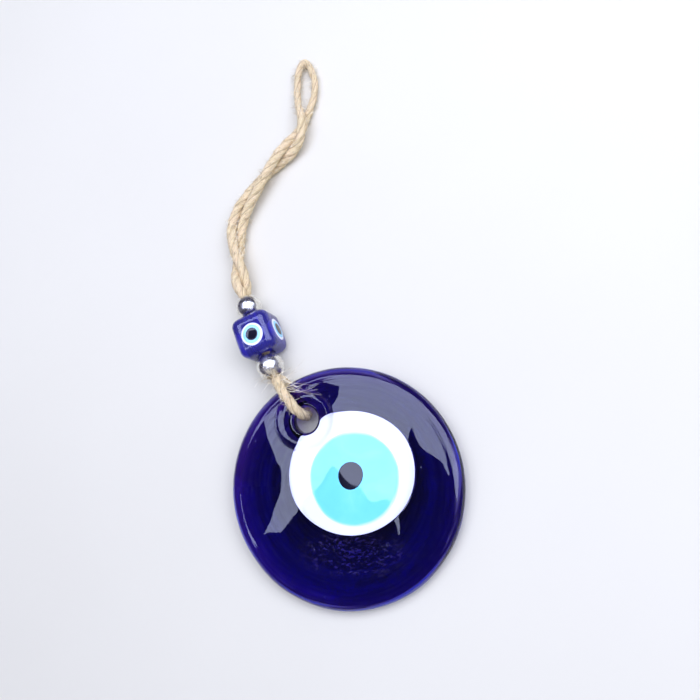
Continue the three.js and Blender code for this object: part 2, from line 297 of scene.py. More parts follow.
def cobalt_glass(name, centre, thirst, milk, glint_patch_middle=None):
    """Blue glass with streaks drawn round its centre.

    thirst is how fast it swallows light and milk how much of it is cloudy. Glass given a middle for a
    painted crinkle highlight gets a bright patch round it, and painted bright streaks in its rim too.
    """
    material, tree = new_material(name)
    streaks = noise_of(tree, round_centre(tree, centre), 520, detail=5, distortion=0.4)
    clouds = noise_of(tree, place_of(tree), 55, detail=4, distortion=1.5)
    colour = ramp(
        tree, streaks,
        (0.36, (0.42, 0.26, 0.6)), (0.5, (0.62, 0.46, 0.84)), (0.66, (0.95, 0.85, 1)),
    )
    colour = blend(tree, between(tree, clouds, 0.4, 0.65, 0, 0.8), colour, (0.5, 0.32, 0.76))
    cloudy = between(tree, clouds, 0.5, 0.7, milk, milk * 0.8)
    if glint_patch_middle:
        # painted highlight: a bright blue patch of crinkle glint, light bent through folds painted into the
        # colour
        painted_crinkle_glints = painted_crinkle_glints_of(tree, glint_patch_middle)
        colour = blend(tree, painted_crinkle_glints, colour, (0.06, 0.03, 0.8))
        cloudy = raised(tree, cloudy, painted_crinkle_glints, 0.13)
        # painted highlight: rim streaks painted bright blue, as light coming out through the disc's edge
        painted_rim_glints = painted_glints_of(tree, centre, streaks)
        colour = blend(tree, painted_rim_glints, colour, (0.02, 0.05, 0.9))
        cloudy = raised(tree, cloudy, painted_rim_glints, 0.3)
    bubbles = bubbles_of(tree)
    colour = blend(tree, bubbles, colour, (0.75, 0.75, 0.95))
    cloudy = raised(tree, cloudy, bubbles, 0.3)
    clear = add(tree, "Math", {0: 1.0, 1: cloudy}, operation="SUBTRACT").outputs[0]
    waves = noise_of(tree, place_of(tree), 45, detail=2)
    normal = bumped(tree, waves, 0.035 * MM)
    if milk:
        colour = blend(tree, 0.8, colour, (0.01, 0.035, 0.66))
    surface(
        tree, base_color=colour, roughness=0.01, ior=GLASS_IOR, transmission_weight=clear, normal=normal
    )
    absorb = add(tree, "VolumeAbsorption", {"Color": (0.3, 0.02, 0.785, 1), "Density": thirst})
    tree.links.new(absorb.outputs[0], tree.nodes["Material Output"].inputs["Volume"])
    return material


def opaque_glass(name, colour, shade, light, fade=None):
    """Milky glass with faint clouds. fade is a centre, two radii and the colour it turns to there."""
    material, tree = new_material(name)
    clouds = noise_of(tree, place_of(tree), 90, detail=4, distortion=0.8)
    colours = ramp(tree, clouds, (0.3, shade), (0.5, colour), (0.75, light))
    if fade:
        centre, start, end, edge_colour = fade
        near = place_of(tree, shift=-centre)
        waviness = 0.4 * MM
        wavy = between(tree, noise_of(tree, place_of(tree), 70, detail=2), 0.3, 0.7, -waviness, waviness)
        distance = add(tree, "VectorMath", {0: near}, operation="LENGTH").outputs["Value"]
        distance = add(tree, "Math", {0: distance, 1: wavy}, operation="ADD").outputs[0]
        colours = blend(tree, between(tree, distance, start, end), colours, edge_colour)
    specks = add(tree, "TexVoronoi", {"Vector": place_of(tree), "Scale": 150.0})
    spotted = blend(tree, between(tree, specks.outputs["Distance"], 0.015, 0.03, 0.5, 0), colours, shade)
    waves = noise_of(tree, place_of(tree), 45, detail=2)
    normal = bumped(tree, waves, 0.04 * MM)
    surface(tree, base_color=spotted, roughness=0.03, ior=GLASS_IOR, normal=normal)
    return material


def polished_silver():
    """Thin bright plating over a pressed bead, with dents, smudges and fine scratches."""
    material, tree = new_material("polished silver")
    smudges = noise_of(tree, place_of(tree), 500, detail=5)
    colour = ramp(tree, smudges, (0.3, (0.62, 0.6, 0.54)), (0.6, (0.88, 0.87, 0.82)))
    rough = between(tree, smudges, 0.35, 0.75, 0.24, 0.38)
    dents = noise_of(tree, place_of(tree), 330, detail=2, distortion=0.5)
    scratches = noise_of(tree, place_of(tree, scale=(1, 9, 1)), 900, detail=2)
    normal = bumped(tree, scratches, 0.01 * MM, under=bumped(tree, dents, 0.4 * MM))
    surface(tree, base_color=colour, metallic=1.0, roughness=rough, normal=normal)
    return material


def jute():
    """Pale twisted fibre. The twine's own map runs round it in X and along it, in metres, in Y."""
    material, tree = new_material("jute")
    twine_map = add(tree, "UVMap", uv_map="twine").outputs[0]

    def repeated(times_round, times_along):
        inputs = {"Vector": twine_map, "Scale": (times_round, times_along, 1)}
        return add(tree, "Mapping", inputs).outputs[0]

    fibres = noise_of(tree, repeated(30, 420), 1.0, detail=8, roughness=0.7)
    patches = noise_of(tree, repeated(3, 160), 1.0, detail=4)
    flecks = noise_of(tree, repeated(22, 800), 1.0, detail=4, distortion=0.6)
    # painted shade in the grooves between plies and fibres, stored on the twine's points
    painted_groove_shade = add(tree, "Attribute", attribute_name="painted_groove_shade").outputs["Fac"]
    colour = ramp(
        tree, fibres,
        (0.28, (0.36, 0.23, 0.09)), (0.4, (0.64, 0.46, 0.21)),
        (0.52, (0.86, 0.68, 0.36)), (0.7, (0.97, 0.84, 0.5)),
    )
    colour = blend(tree, between(tree, patches, 0.4, 0.65, 0, 0.5), colour, (0.94, 0.7, 0.41))
    colour = blend(tree, between(tree, flecks, 0.57, 0.7, 0, 0.65), colour, (0.36, 0.22, 0.12))
    # painted shade: darker brown where the twine's grooves lie
    colour = blend(tree, between(tree, painted_groove_shade, 0.45, 1, 0, 0.5), colour, (0.3, 0.19, 0.1))
    normal = bumped(tree, fibres, 0.5 * MM)
    surface(
        tree, base_color=colour, roughness=0.85, normal=normal,
        sheen_weight=0.25, sheen_roughness=0.5, sheen_tint=(1.0, 0.9, 0.75, 1),
    )
    return material


def stray_fibre():
    material, tree = new_material("stray fibre")
    shade = noise_of(tree, place_of(tree), 300, detail=2)
    colour = ramp(tree, shade, (0.38, (0.5, 0.4, 0.22)), (0.6, (0.98, 0.9, 0.66)))
    surface(tree, base_color=colour, roughness=0.7, sheen_weight=0.2)
    return material


jute_fibre = jute()
loose_fibre = stray_fibre()

# ------------------------ twine

TWINE_STEP = 0.45 * MM
PLIES = 3
POINTS_ROUND = 30
PLY_PITCH = 18 * MM
CURVE_PARTS = 14  # straight parts to each stretch of a smooth line
TIP_EASING = 14  # passes that ease the hanging loop's narrow tip

# Shares of the twine's radius: a ply's crown, the grooves' depth, and how far fibres and lumps rise.
PLY_CROWN = 0.98
GROOVE_DEPTH = 0.2
FIBRE_RISE = 0.16
LUMP_RISE = 0.13
PAINTED_FIBRE_SHADE = 0.15  # how much painted shade lies between fibres, as a share of that in the grooves

# How often fibres and lumps come: to a radian round the twine, and to a millimetre along it.
FIBRES_ROUND = 4.2
FIBRES_ALONG = 0.8
LUMPS_ALONG = 0.3


def smooth_line(points, parts=CURVE_PARTS):
    """A centripetal Catmull-Rom curve through the points, as short straight parts."""
    line = [points[0]]
    ends = [points[0] * 2 - points[1], *points, points[-1] * 2 - points[-2]]
    for p0, p1, p2, p3 in zip(ends, ends[1:], ends[2:], ends[3:]):
        d0, d1, d2 = (math.sqrt((b - a).length) for a, b in ((p0, p1), (p1, p2), (p2, p3)))
        leaving = ((p1 - p0) / d0 - (p2 - p0) / (d0 + d1) + (p2 - p1) / d1) * d1
        arriving = ((p2 - p1) / d1 - (p3 - p1) / (d1 + d2) + (p3 - p2) / d2) * d1
        for i in range(1, parts + 1):
            t = i / parts
            line.append(
                p1 * (2 * t ** 3 - 3 * t ** 2 + 1)
                + leaving * (t ** 3 - 2 * t ** 2 + t)
                + p2 * (3 * t ** 2 - 2 * t ** 3)
                + arriving * (t ** 3 - t ** 2)
            )
    return line


def evenly(line, step):
    """The same line with its points a step apart."""
    total = sum((b - a).length for a, b in zip(line, line[1:]))
    count = round(total / step)
    spaced, i, done = [line[0]], 0, 0.0
    for k in range(1, count):
        want = total * k / count
        while done + (line[i + 1] - line[i]).length < want:
            done += (line[i + 1] - line[i]).length
            i += 1
        spaced.append(line[i].lerp(line[i + 1], (want - done) / (line[i + 1] - line[i]).length))
    return spaced + [line[-1]]


def softened(line, passes):
    """The line with its sharpest bends eased and its ends where they were."""
    for _ in range(passes):
        eased = [(a + b * 2 + c) / 4 for a, b, c in zip(line, line[1:], line[2:])]
        line = [line[0], *eased, line[-1]]
    return line


def frames_along(line):
    """(along, side, over) at each point, turning as little as possible."""
    found = []
    side = (line[1] - line[0]).orthogonal().normalized()
    for i in range(len(line)):
        along = (line[min(i + 1, len(line) - 1)] - line[max(i - 1, 0)]).normalized()
        side = (side - along * side.dot(along)).normalized()
        found.append((along, side, along.cross(side)))
    return found


def mesh_piece(name, points, faces):
    """A new object with a mesh of these points and faces."""
    data = bpy.data.meshes.new(name)
    data.from_pydata(points, [], faces)
    data.update()
    piece = bpy.data.objects.new(name, data)
    bpy.context.scene.collection.objects.link(piece)
    return piece


def twine(name, line, radius_at, seed):
    """A closed rope of plies laid round each other, with fibres raised along them."""
    points, painted_groove_shade, around, lengthwise = [], [], [], []
    lobe = math.pi / PLIES
    run = 0.0
    for i, (at, (_, side, over)) in enumerate(zip(line, frames_along(line))):
        if i:
            run += (at - line[i - 1]).length
        lay = 2 * math.pi * run / PLY_PITCH
        radius = radius_at(at)
        for k in range(POINTS_ROUND):
            angle = 2 * math.pi * k / POINTS_ROUND
            across = (angle % (2 * lobe)) / lobe - 1  # -1 and 1 in the grooves, 0 on a ply's crown
            sunk = abs(across) ** 3
            fibre = noise.noise(Vector((seed + angle * FIBRES_ROUND, run / MM * FIBRES_ALONG, seed)))
            lump = noise.noise(Vector((seed, run / MM * LUMPS_ALONG, angle)))
            reach = radius * (PLY_CROWN - GROOVE_DEPTH * sunk + FIBRE_RISE * fibre + LUMP_RISE * lump)
            turn = angle + lay
            points.append(at + (side * math.cos(turn) + over * math.sin(turn)) * reach)
            # painted shade: full in the grooves between plies, a little between fibres
            painted_groove_shade.append(min(1.0, sunk + PAINTED_FIBRE_SHADE * max(0, -fibre)))
            around.append(k / POINTS_ROUND)
            lengthwise.append(run)
    faces = []
    rings = len(line)
    for i in range(rings - 1):
        for k in range(POINTS_ROUND):
            n = (k + 1) % POINTS_ROUND
            low, high = i * POINTS_ROUND, (i + 1) * POINTS_ROUND
            faces.append((low + k, low + n, high + n, high + k))
    last = (rings - 1) * POINTS_ROUND
    faces.append(tuple(reversed(range(POINTS_ROUND))))
    faces.append(tuple(last + k for k in range(POINTS_ROUND)))
    rope = mesh_piece(name, points, faces)
    rope.data.attributes.new("painted_groove_shade", "FLOAT", "POINT").data.foreach_set("value", painted_groove_shade)
    uv = rope.data.uv_layers.new(name="twine")
    for face in rope.data.polygons:
        wraps = len(face.vertices) == 4 and max(around[v] for v in face.vertices) > 0.9
        for loop, v in zip(face.loop_indices, face.vertices):
            u = 1.0 if wraps and around[v] == 0 else around[v]
            uv.data[loop].uv = (u, lengthwise[v])
    rope.data.polygons.foreach_set("use_smooth", [True] * len(faces))
    rope.data.materials.append(jute_fibre)
    return rope


# The same routes as the solids have. The legs' midway line: x and y from the upper bead's centre,
# lift from the table (0) to the bore (1), and the legs' turn round each other in degrees.
TWISTED_ROUTE = [
    (-0.00195, 0.00485, 1, 95), (-0.0033, 0.0089, 0.9, 135), (-0.0052, 0.0156, 0.5, 225),
    (-0.0064, 0.0216, 0.2, 275), (-0.0071, 0.0274, 0.05, 310), (-0.0066, 0.0332, 0, 335),
    (-0.0046, 0.0384, 0, 358), (-0.0016, 0.043, 0, 382), (0.0019, 0.0477, 0, 408),
    (0.0056, 0.0522, 0, 436), (0.0096, 0.056, 0, 470), (0.0133, 0.0598, 0, 515),
    (0.0164, 0.0634, 0, 565), (0.0182, 0.0674, 0, 610), (0.0188, 0.0712, 0, 640),
]
LOOP_ROUTE = [
    (0.0208, 0.0756, 0), (0.0223, 0.0804, 0), (0.0223, 0.0858, 0),
    (0.0207, 0.0912, 0), (0.0183, 0.0946, 0), (0.0163, 0.0914, 0.05),
    (0.0157, 0.0862, 0.1), (0.016, 0.0808, 0.2), (0.0169, 0.0762, 0.45),
]
LEG_OFFSET = 1.85 * MM
PAIR_HEIGHT = 3.9 * MM
LOOP_HEIGHT = 1.95 * MM
BORE_OFFSET = 1.2 * MM  # of each leg from a bore's axis
BORE_STOPS = (-18.4 * MM, -13 * MM, -6 * MM, 0.0, 2.9 * MM)  # along the string from the upper bead

# The loop through the disc: distance from the hole's axis towards the lower bead, and height.
DISC_LOOP_TURN = math.radians(36.2)  # left of +Y
LOWER_BORE_STOPS = (2.2 * MM, -3.2 * MM)  # along the string from the lower bead
DISC_LOOP_ROUTE = [
    (0.01766, 0.0092), (0.01566, 0.01202), (0.01246, 0.01362), (0.00856, 0.01412), (0.0064, 0.01389),
    (0.0037, 0.01289), (0.00205, 0.01047), (0.00165, 0.00727), (0.00195, 0.00435), (0.00355, 0.00245),
    (0.0053, 0.00195), (0.01006, 0.00195), (0.01406, 0.00205), (0.01666, 0.00355), (0.01766, 0.0053),
]

SQUEEZE_FADE = 2.4 * MM  # how far outside a bore the twine takes to swell to its full width
UPPER_SQUEEZE = 3.4 * MM  # how far from its bead's centre the twine starts to swell
LOWER_SQUEEZE = 3.7 * MM
SLIM_START = 66  # mm along +Y from the upper bead, where the twine starts to thin
SLIM_OVER = 10  # mm
SLIM_SHARE = 0.3


def lifted(x, y, lift, low):
    """A spot at x and y from the upper bead, at height low with no lift and at the bore's with 1."""
    return Vector((upper_bead_at.x + x, upper_bead_at.y + y, low + (upper_bead_at.z - low) * lift))


def hanging_line():
    """Through the beads, up one leg, round the hanging loop, down the other leg and back."""
    middle = [lifted(x, y, lift, PAIR_HEIGHT) for x, y, lift, _ in TWISTED_ROUTE]
    line = smooth_line(middle)
    turns = [math.radians(turn) for *_, turn in TWISTED_ROUTE]
    out = string_side * math.cos(turns[0]) + UP * math.sin(turns[0])

    def leg(side):
        """One leg's points, side being +1 for the first leg and -1 for the other."""
        points = [upper_bead_at + string_way * along + out * side * BORE_OFFSET for along in BORE_STOPS]
        for i, (centre, turn) in enumerate(zip(middle, turns)):
            after = line[min(i * CURVE_PARTS + 1, len(line) - 1)]
            before = line[max(i * CURVE_PARTS - 1, 0)]
            along = (after - before).normalized()
            across = along.cross(UP).normalized()
            above = across.cross(along)
            points.append(centre + (across * math.cos(turn) + above * math.sin(turn)) * side * LEG_OFFSET)
        return points

    loop = [lifted(x, y, lift, LOOP_HEIGHT) for x, y, lift in LOOP_ROUTE]
    route = evenly(smooth_line(leg(1) + loop + leg(-1)[::-1]), TWINE_STEP)
    return softened(route, TIP_EASING)


def disc_loop_line():
    """Out of the lower bead, over the disc's edge, down the hole and back under the disc."""
    way = Vector((-math.sin(DISC_LOOP_TURN), math.cos(DISC_LOOP_TURN), 0))
    hole_foot = Vector((disc_back.x + hole_spot.x, disc_back.y + hole_spot.y, 0))
    outside = [hole_foot + way * distance + UP * height for distance, height in DISC_LOOP_ROUTE]

    def inside(side):
        """The end in the bore and the spot near its mouth, side being +1 on top and -1 below."""
        return [lower_bead_at + string_way * along + UP * side * BORE_OFFSET for along in LOWER_BORE_STOPS]

    return evenly(smooth_line([*inside(1), *outside, *inside(-1)[::-1]]), TWINE_STEP)


def bore_squeeze(at, bead, reach, way):
    """1 inside a bead's bore and 0 well clear of its mouth, way being +1 or -1 along the string."""
    out = (at - bead).dot(string_way) * way - reach
    return 1 - min(1, max(0, out / SQUEEZE_FADE)) ** 0.8


def hanging_radius(at):
    """Thin in the bores, full along the pair of legs, and slimmer round the hanging loop."""
    squeeze = bore_squeeze(at, upper_bead_at, UPPER_SQUEEZE, 1)
    past = (at.y - upper_bead_at.y) / MM
    slim = 1 - SLIM_SHARE * min(1, max(0, (past - SLIM_START) / SLIM_OVER))
    return slim * (TWINE_DIAMETER / 2 * (1 - squeeze) + SQUEEZED_RADIUS * squeeze)


def disc_loop_radius(at):
    """Thin in the lower bead's bore and full everywhere else."""
    squeeze = bore_squeeze(at, lower_bead_at, LOWER_SQUEEZE, -1)
    return TWINE_DIAMETER / 2 * (1 - squeeze) + SQUEEZED_RADIUS * squeeze


FIBRE_STEPS = 6
FIBRE_THICKNESS = (0.06, 0.12)  # mm
FIBRE_TAPER = 0.75
CURLINESS = 0.3
ROOT_LEAN = 0.6  # how much of a group's lean also moves its fibres' roots round the twine
ROOT_DEPTH = 0.85  # of the twine's radius


def fibre_points(rows):
    """Three points round each (centre, radius) row of a fibre."""
    points = []
    for k, (centre, wide) in enumerate(rows):
        ahead = (rows[min(k + 1, FIBRE_STEPS)][0] - rows[max(k - 1, 0)][0]).normalized()
        u = ahead.orthogonal().normalized()
        v = ahead.cross(u)
        for corner in range(3):
            turn = 2 * math.pi * corner / 3
            points.append(centre + (u * math.cos(turn) + v * math.sin(turn)) * wide)
    return points


def fibre_faces(start):
    """The sides and ends of a fibre whose points begin at start."""
    faces = []
    for k in range(FIBRE_STEPS):
        low = start + 3 * k
        for corner in range(3):
            n = (corner + 1) % 3
            faces.append((low + corner, low + n, low + 3 + n, low + 3 + corner))
    tip = start + 3 * FIBRE_STEPS
    return [*faces, (start + 2, start + 1, start), (tip, tip + 1, tip + 2)]


def fuzz(name, line, radius, strands, seed):
    """Stray fibres that stand off a twine.

    A group of strands is (start share, end share, count, length, spread, lean, lowest height).
    """
    draw = random.Random(seed)
    points, faces = [], []
    frames = frames_along(line)
    for first, last, count, length, spread, lean, lowest in strands:
        for _ in range(count):
            i = int(draw.uniform(first, last) * (len(line) - 1))
            along, side, over = frames[i]
            angle = draw.uniform(0, 2 * math.pi)
            out = side * math.cos(angle) + over * math.sin(angle)
            out = (out + lean * ROOT_LEAN).normalized()
            way = (out + along * draw.uniform(-1.6, 1.6) * spread + lean).normalized()
            curl = Vector((draw.uniform(-1, 1), draw.uniform(-1, 1), draw.uniform(-0.6, 0.6))) * CURLINESS
            reach = length * draw.uniform(0.35, 1.0)
            thick = draw.uniform(*FIBRE_THICKNESS) * MM
            at = line[i] + out * radius * ROOT_DEPTH
            rows = []
            for k in range(FIBRE_STEPS + 1):
                rows.append((at.copy(), thick * (1 - FIBRE_TAPER * k / FIBRE_STEPS)))
                at = at + way * reach / FIBRE_STEPS
                way = (way + curl).normalized()
                at.z = max(at.z, lowest)
            faces += fibre_faces(len(points))
            points += fibre_points(rows)
    piece = mesh_piece(name, points, faces)
    piece.data.materials.append(loose_fibre)
    return piece


NO_LEAN = Vector((0, 0, 0))
OVER_DIMPLE = Vector((1.3, -0.4, 0.2))  # a lean across the dimple, to the front right
OVER_DISC = 12.3 * MM  # just clear of the glass
OVER_TABLE = 0.1 * MM

hanging_path = hanging_line()
hanging_twine = twine("hanging_jute_twine", hanging_path, hanging_radius, 3.7)
hanging_fuzz = fuzz(
    "hanging_twine_fuzz", hanging_path, TWINE_DIAMETER / 2,
    [
        (0.14, 0.86, 900, 2.2 * MM, 1.0, NO_LEAN, OVER_TABLE),
        (0.14, 0.3, 50, 4 * MM, 0.7, NO_LEAN, OVER_TABLE),
        (0.7, 0.86, 50, 4 * MM, 0.7, NO_LEAN, OVER_TABLE),
    ],
    11,
)
for part in (hanging_twine, hanging_fuzz):
    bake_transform(part)
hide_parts("twine_in_upper_beads", "hanging_twine")

disc_loop_path = disc_loop_line()
disc_loop_twine = twine("disc_loop_jute_twine", disc_loop_path, disc_loop_radius, 8.1)
disc_loop_fuzz = fuzz(
    "disc_loop_fuzz", disc_loop_path, TWINE_DIAMETER / 2,
    [
        (0.08, 0.4, 90, 3 * MM, 1.0, UP * 0.8, OVER_DISC),
        (0.1, 0.3, 26, 15 * MM, 1.3, OVER_DIMPLE, OVER_DISC),
        (0.08, 0.2, 30, 8 * MM, 1.0, UP * 0.6, OVER_DISC),
        (0.6, 0.92, 60, 3 * MM, 1.0, NO_LEAN, OVER_TABLE),
    ],
    23,
)
for part in (disc_loop_twine, disc_loop_fuzz):
    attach(part, "twine_loop")
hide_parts("twine_in_lower_bead", "twine_through_disc")

# ------------------------ making pieces


def deselect():
    if bpy.context.object and bpy.context.object.mode != "OBJECT":
        bpy.ops.object.mode_set(mode="OBJECT")
    bpy.ops.object.select_all(action="DESELECT")


def edit(piece):
    deselect()
    piece.select_set(True)
    bpy.context.view_layer.objects.active = piece
    bpy.ops.object.mode_set(mode="EDIT")
    bpy.ops.mesh.select_mode(type="VERT")
    bpy.ops.mesh.select_all(action="SELECT")


def done(smooth_under=40):
    """Leaves edit mode and smooths every edge gentler than the angle."""
    bpy.ops.object.mode_set(mode="OBJECT")
    bpy.ops.object.shade_smooth_by_angle(angle=math.radians(smooth_under))


def settle(piece, place, body, slot, material, *nodes):
    """Puts a finished piece in its place, gives it its glass or metal, hangs it on its body and hides the
    parts it stands for.
    """
    piece.data.transform(place)
    piece.data.materials.clear()
    piece.data.materials.append(material)
    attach(piece, body)
    if nodes:
        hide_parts(*nodes)


MERGE_WITHIN = 0.002 * MM


def turned(name, profile, steps):
    """A closed profile of (radius, height) points spun round Z."""
    deselect()
    bpy.ops.mesh.primitive_plane_add(size=MM)
    piece = bpy.context.object
    piece.name = name
    edit(piece)
    bpy.ops.mesh.merge(type="CENTER")
    stops = [Vector((r, 0, z)) for r, z in profile]
    bpy.ops.transform.translate(value=stops[0])
    for a, b in zip(stops, stops[1:]):
        bpy.ops.mesh.extrude_region_move(TRANSFORM_OT_translate={"value": b - a})
    bpy.ops.mesh.select_all(action="SELECT")
    bpy.ops.mesh.spin(steps=steps, angle=2 * math.pi, center=(0, 0, 0), axis=(0, 0, 1))
    bpy.ops.mesh.select_all(action="SELECT")
    bpy.ops.mesh.remove_doubles(threshold=MERGE_WITHIN)
    bpy.ops.mesh.normals_make_consistent(inside=False)
    return piece


# ------------------------ outlines of the disc's eye

WHITE_CENTRE = Vector((3.4, 4.8)) * MM
IRIS_CENTRE = Vector((4.6, 2.9)) * MM
PUPIL_CENTRE = Vector((3.5, 3.9)) * MM

# Where an edge bulges: (degrees round from +X, width in degrees, height in mm).
WHITE_BULGES = ((114, 9, 0.7), (146, 9, 0.8), (35, 22, 0.4), (205, 25, 0.5), (300, 30, -0.3))
IRIS_BULGE = (325, 14, 0.35)


def bulge(angle, middle, width, height):
    away = (math.degrees(angle) - middle + 180) % 360 - 180
    return height * math.exp(-((away / width) ** 2))


def white_edge(angle):
    """How far the white layer reaches from its centre: poured by hand, so it isn't round."""
    reach = 20.6 + 0.45 * math.cos(2 * angle)
    return (reach + sum(bulge(angle, *each) for each in WHITE_BULGES)) * MM


def iris_edge(angle):
    reach = 15.5 - 0.2 * math.cos(angle * 2) + 0.12 * math.sin(angle * 5)
    return (reach + bulge(angle, *IRIS_BULGE)) * MM


def pupil_edge(angle):
    return (4.45 - 0.2 * math.cos(angle * 2 + 0.5) + 0.06 * math.sin(angle * 3)) * MM


# ------------------------ glass disc

crown_rise = DISC_THICKNESS - SHOULDER_HEIGHT
shoulder_radius = DISC_RADIUS - SHOULDER_WIDTH
crown_radius = (shoulder_radius ** 2 + crown_rise ** 2) / (2 * crown_rise)


def hole_distance(x, y):
    return math.hypot(x - hole_spot.x, y - hole_spot.y)


def dimple_depth(distance):
    """A pressed pan round the hole, steep at its outer edge and rounded over into the hole."""
    near = max(distance, HOLE_RADIUS)
    inward = max(0, (DIMPLE_RADIUS - near) / (DIMPLE_RADIUS - HOLE_RADIUS))
    brink = min(1, inward / DIMPLE_BRINK)
    depth = DIMPLE_DEPTH * (1 - (1 - inward) ** DIMPLE_STEEPNESS) * (2 * brink - brink ** 2)
    last = HOLE_RADIUS + HOLE_BRINK - near
    if last > 0:
        depth += HOLE_BRINK * (1 - math.sqrt(max(0, 1 - (last / HOLE_BRINK) ** 2)))
    return depth


def front_height(x, y):
    """Height of the domed front, with its rounded edge and the dimple round the hole."""
    r = min(math.hypot(x, y), DISC_RADIUS)
    if r <= shoulder_radius:
        height = DISC_THICKNESS - crown_radius + math.sqrt(crown_radius ** 2 - r ** 2)
    else:
        out = (r - shoulder_radius) / SHOULDER_WIDTH
        height = EDGE_HEIGHT + (SHOULDER_HEIGHT - EDGE_HEIGHT) * math.sqrt(max(0, 1 - out ** 2))
    return height - dimple_depth(hole_distance(x, y))


def back_height(x, y):
    """Height of the back, with its rolled margin and the countersink round the hole."""
    r = min(math.hypot(x, y), DISC_RADIUS)
    height = BACK_ROLL * max(0, (r - FLAT_RADIUS) / (DISC_RADIUS - FLAT_RADIUS)) ** 2
    inner = DISC_RADIUS - BACK_EDGE
    if r > inner:
        start = BACK_ROLL * ((inner - FLAT_RADIUS) / (DISC_RADIUS - FLAT_RADIUS)) ** 2
        out = (r - inner) / BACK_EDGE
        height = start + (EDGE_HEIGHT - start) * (1 - math.sqrt(max(0, 1 - out ** 2)))
    d = hole_distance(x, y)
    if d < SINK_RADIUS:
        height = max(height, SINK_DEPTH * (SINK_RADIUS - d) / (SINK_RADIUS - HOLE_RADIUS))
    return height


def wander(x, y, seed):
    """A slow random wave, -1 to 1, over the glass."""
    return noise.noise(Vector((x / MM * 0.06, y / MM * 0.06, seed)))


RIPPLE_HEIGHT = 0.09 * MM
FRONT_SEED = 9.0
BACK_SEED = 2.0


def ripple(x, y, seed):
    """How far the poured glass stands above or below its true shape."""
    return RIPPLE_HEIGHT * wander(x * 1.6, y * 1.6, seed)


EDGE_SEED = 4.0
EDGE_SWELL = 0.005  # share of its radius by which the disc's edge is out of round
DISC_SIDES = 208
UNDER_EYE = 0.4 * MM  # how far the blue glass sinks under the white
SINK_INSET = 0.8 * MM  # how far inside the white's edge it starts to sink
SINK_HOLE_GAP = 2 * MM  # how near the hole it may sink
RIPPLE_LIMIT = 0.98  # share of the way from the flat back to the edge where the ripple ends
DIMPLE_LOOPS = 30
BODY_LOOPS = 76
DIMPLE_REACH = 11.2 * MM  # loops are centred on the hole out to here
HOLE_EDGE_WITHIN = 0.012 * MM


def disc_loops():
    """(radius, centre) of each loop of points, closer together near the hole and the edge."""
    for i in range(1, DIMPLE_LOOPS + 1):
        yield HOLE_RADIUS + (DIMPLE_REACH - HOLE_RADIUS) * i / DIMPLE_LOOPS, hole_spot
    for i in range(1, BODY_LOOPS + 1):
        share = math.sin(math.pi / 2 * i / BODY_LOOPS)
        yield DIMPLE_REACH + (DISC_RADIUS - DIMPLE_REACH) * share, hole_spot * (1 - share)


def shape_disc(mesh, per_side):
    """Moves a flat doubled sheet's points to the disc's front and then its back."""
    for i, v in enumerate(mesh.vertices):
        x, y = v.co.x, v.co.y
        in_front = i < per_side
        v.co.z = front_height(x, y) if in_front else back_height(x, y)
        from_eye = Vector((x, y)) - WHITE_CENTRE
        reach = white_edge(math.atan2(from_eye.y, from_eye.x))
        if in_front and hole_distance(x, y) > HOLE_RADIUS + SINK_HOLE_GAP:
            v.co.z -= UNDER_EYE * min(1, max(0, (reach - SINK_INSET - from_eye.length) / MM))
        edge = max(0, math.hypot(x, y) - FLAT_RADIUS) / (DISC_RADIUS - FLAT_RADIUS)
        swell = 1 + EDGE_SWELL * edge * wander(x, y, EDGE_SEED)
        v.co.x, v.co.y = x * swell, y * swell
        if edge < RIPPLE_LIMIT:
            v.co.z += ripple(x, y, FRONT_SEED) if in_front else abs(ripple(x, y, BACK_SEED))


def glass_disc():
    """Loops of points grow out from the hole to the disc's edge, in front and behind."""
    deselect()
    bpy.ops.mesh.primitive_circle_add(
        vertices=DISC_SIDES, radius=HOLE_RADIUS, location=(hole_spot.x, hole_spot.y, 0)
    )
    piece = bpy.context.object
    piece.name = "glass_amulet"
    bpy.ops.object.transform_apply()
    edit(piece)
    radius, centre = HOLE_RADIUS, hole_spot.copy()
    for wider, further in disc_loops():
        step = further - centre
        bpy.ops.mesh.extrude_edges_move(TRANSFORM_OT_translate={"value": (step.x, step.y, 0)})
        grow = wider / radius
        bpy.ops.transform.resize(value=(grow, grow, 1), center_override=(further.x, further.y, 0))
        radius, centre = wider, further
    done()
    per_side = len(piece.data.vertices)
    edit(piece)
    bpy.ops.mesh.duplicate_move()
    done()
    shape_disc(piece.data, per_side)
    edit(piece)
    bpy.ops.mesh.remove_doubles(threshold=MERGE_WITHIN)
    bpy.ops.mesh.select_all(action="DESELECT")
    bpy.ops.object.mode_set(mode="OBJECT")
    for v in piece.data.vertices:
        v.select = hole_distance(v.co.x, v.co.y) < HOLE_RADIUS + HOLE_EDGE_WITHIN
    bpy.ops.object.mode_set(mode="EDIT")
    bpy.ops.mesh.select_mode(type="EDGE")
    bpy.ops.mesh.bridge_edge_loops(number_cuts=3)
    bpy.ops.mesh.select_all(action="SELECT")
    bpy.ops.mesh.normals_make_consistent(inside=False)
    done(smooth_under=60)
    return piece


# middle of the painted crinkle highlight patch
glint_patch_at = disc_back + Vector((4, -22, 0)) * MM
disc_glass = cobalt_glass("cobalt glass", disc_back, thirst=520.0, milk=0.0, glint_patch_middle=glint_patch_at)
settle(glass_disc(), disc_place, "disc", "cobalt_glass", disc_glass, "glass_disc")

# ------------------------ the disc's eye

EYE_SIDES = 144
EYE_RINGS = 26
EYE_SIDE_ROWS = (0.05, 0.5, 1)  # how deep each row of a layer's side lies, as a share of its depth
EYE_HOLE_GAP = 0.9 * MM  # left between the eye and the hole
EYE_ROUNDING = 0.04  # share of a layer's reach that its rounded edge takes


